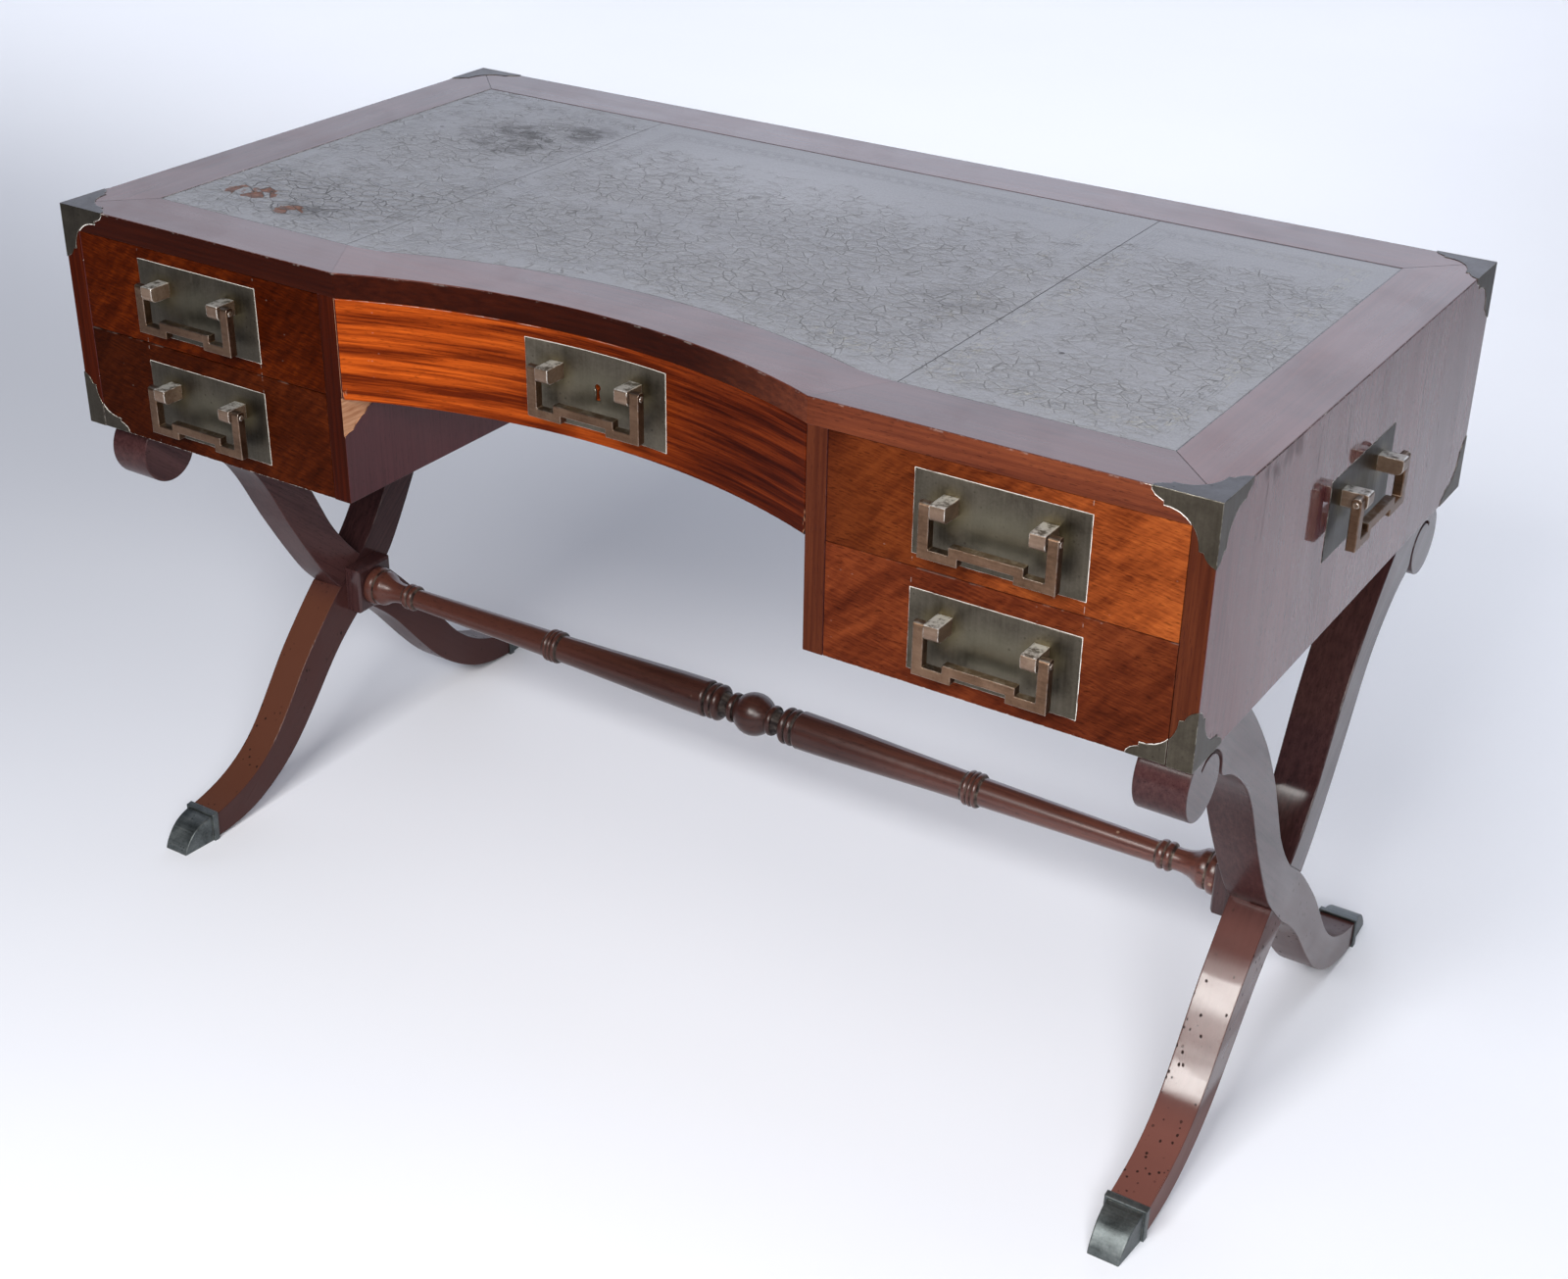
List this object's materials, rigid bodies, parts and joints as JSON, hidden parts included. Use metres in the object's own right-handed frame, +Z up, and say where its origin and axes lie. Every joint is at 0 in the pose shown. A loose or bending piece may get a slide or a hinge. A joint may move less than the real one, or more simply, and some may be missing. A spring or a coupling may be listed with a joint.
{
  "type": "campaign desk",
  "caption": "Kneehole campaign writing desk: concave front, inset leather top, brass-bound corners, bail-handled drawers, scrolled X trestles joined by a turned stretcher.",
  "frame": {"origin": "on the floor, under the centre of the overall box", "axes": "+X to the right of a person sitting at the desk, -Y towards that person, +Z up"},
  "size_m": [1.288, 0.68, 0.765],
  "materials": {
    "mahogany_case": "polished dark red mahogany",
    "mahogany_front": "polished figured mahogany veneer",
    "mahogany_top": "polished mahogany crossbanding, reflecting the room",
    "mahogany_leg": "polished mahogany, worn at the edges",
    "secondary_wood": "plain oiled softwood",
    "drawer_lining": "plain planed hardwood",
    "leather_top": "aged dark green hide, crazed",
    "brass_plate": "dulled olive-brown brass",
    "brass_bail": "browned brass, bright on the worn edges",
    "brass_post": "browned brass",
    "brass_toe": "blackened brass",
    "lock_metal": "plain brass",
    "screw_steel": "plain steel"
  },
  "bodies": {
    "case": {"left_end_panel": "mahogany_case", "right_end_panel": "mahogany_case", "kneehole_side_panels": "mahogany_case", "back_panel": "mahogany_case", "pedestal_boards": "secondary_wood", "centre_drawer_runners": "secondary_wood", "top_core": "secondary_wood", "top_border_front": "mahogany_top", "top_border_back": "mahogany_top", "top_border_ends": "mahogany_top", "writing_leather": "leather_top", "corner_brackets_top": "brass_plate", "corner_brackets_bottom": "brass_plate", "right_leg_front_foot": "mahogany_leg", "right_leg_back_foot": "mahogany_leg", "left_leg_front_foot": "mahogany_leg", "left_leg_back_foot": "mahogany_leg", "toe_caps": "brass_toe", "stretcher": "mahogany_leg", "stretcher_blocks": "mahogany_leg", "trestle_screws": "screw_steel", "carry_handle_plates": "brass_plate", "carry_handle_posts": "brass_post"},
    "upper_left_drawer": {"upper_left_drawer_front": "mahogany_front", "upper_left_drawer_box": "drawer_lining", "upper_left_drawer_bottom": "drawer_lining", "upper_left_handle_plate": "brass_plate", "upper_left_handle_posts": "brass_post"},
    "upper_left_bail": {"upper_left_bail": "brass_bail"},
    "lower_left_drawer": {"lower_left_drawer_front": "mahogany_front", "lower_left_drawer_box": "drawer_lining", "lower_left_drawer_bottom": "drawer_lining", "lower_left_handle_plate": "brass_plate", "lower_left_handle_posts": "brass_post", "lower_left_corner_plate": "brass_plate"},
    "lower_left_bail": {"lower_left_bail": "brass_bail"},
    "upper_right_drawer": {"upper_right_drawer_front": "mahogany_front", "upper_right_drawer_box": "drawer_lining", "upper_right_drawer_bottom": "drawer_lining", "upper_right_handle_plate": "brass_plate", "upper_right_handle_posts": "brass_post"},
    "upper_right_bail": {"upper_right_bail": "brass_bail"},
    "lower_right_drawer": {"lower_right_drawer_front": "mahogany_front", "lower_right_drawer_box": "drawer_lining", "lower_right_drawer_bottom": "drawer_lining", "lower_right_handle_plate": "brass_plate", "lower_right_handle_posts": "brass_post", "lower_right_corner_plate": "brass_plate"},
    "lower_right_bail": {"lower_right_bail": "brass_bail"},
    "centre_drawer": {"centre_drawer_front": "mahogany_front", "centre_drawer_box": "drawer_lining", "centre_drawer_bottom": "drawer_lining", "centre_handle_plate": "brass_plate", "centre_handle_posts": "brass_post", "lock_case": "lock_metal"},
    "centre_bail": {"centre_bail": "brass_bail"},
    "lock_bolt": {"lock_bolt": "lock_metal"},
    "right_carry_bail": {"right_carry_bail": "brass_bail"},
    "left_carry_bail": {"left_carry_bail": "brass_bail"}
  },
  "joints": [
    {"name": "upper_left_drawer_slide", "type": "slide", "parent": "case", "child": "upper_left_drawer", "axis": [0, -1, 0], "range_m": [0, 0.4]},
    {"name": "upper_left_bail_swing", "type": "hinge", "parent": "upper_left_drawer", "child": "upper_left_bail", "pos_m": [-0.4392, -0.3335, 0.7047], "axis": [-1, 0, 0], "range_deg": [0, 90]},
    {"name": "lower_left_drawer_slide", "type": "slide", "parent": "case", "child": "lower_left_drawer", "axis": [0, -1, 0], "range_m": [0, 0.4]},
    {"name": "lower_left_bail_swing", "type": "hinge", "parent": "lower_left_drawer", "child": "lower_left_bail", "pos_m": [-0.4392, -0.3335, 0.598], "axis": [-1, 0, 0], "range_deg": [0, 90]},
    {"name": "upper_right_drawer_slide", "type": "slide", "parent": "case", "child": "upper_right_drawer", "axis": [0, -1, 0], "range_m": [0, 0.4]},
    {"name": "upper_right_bail_swing", "type": "hinge", "parent": "upper_right_drawer", "child": "upper_right_bail", "pos_m": [0.4392, -0.3335, 0.7047], "axis": [-1, 0, 0], "range_deg": [0, 90]},
    {"name": "lower_right_drawer_slide", "type": "slide", "parent": "case", "child": "lower_right_drawer", "axis": [0, -1, 0], "range_m": [0, 0.4]},
    {"name": "lower_right_bail_swing", "type": "hinge", "parent": "lower_right_drawer", "child": "lower_right_bail", "pos_m": [0.4392, -0.3335, 0.598], "axis": [-1, 0, 0], "range_deg": [0, 90]},
    {"name": "centre_drawer_slide", "type": "slide", "parent": "case", "child": "centre_drawer", "axis": [0, -1, 0], "range_m": [0, 0.33]},
    {"name": "centre_bail_swing", "type": "hinge", "parent": "centre_drawer", "child": "centre_bail", "pos_m": [0.005, -0.28198, 0.7047], "axis": [-1, 0, 0], "range_deg": [0, 90]},
    {"name": "lock_bolt_throw", "type": "slide", "parent": "centre_drawer", "child": "lock_bolt", "axis": [0, 0, 1], "range_m": [0, 0.008]},
    {"name": "right_carry_bail_swing", "type": "hinge", "parent": "case", "child": "right_carry_bail", "pos_m": [0.6375, 0.012, 0.6645], "axis": [0, -1, 0], "range_deg": [0, 90]},
    {"name": "left_carry_bail_swing", "type": "hinge", "parent": "case", "child": "left_carry_bail", "pos_m": [-0.6375, 0.012, 0.6645], "axis": [0, 1, 0], "range_deg": [0, 90]}
  ]
}
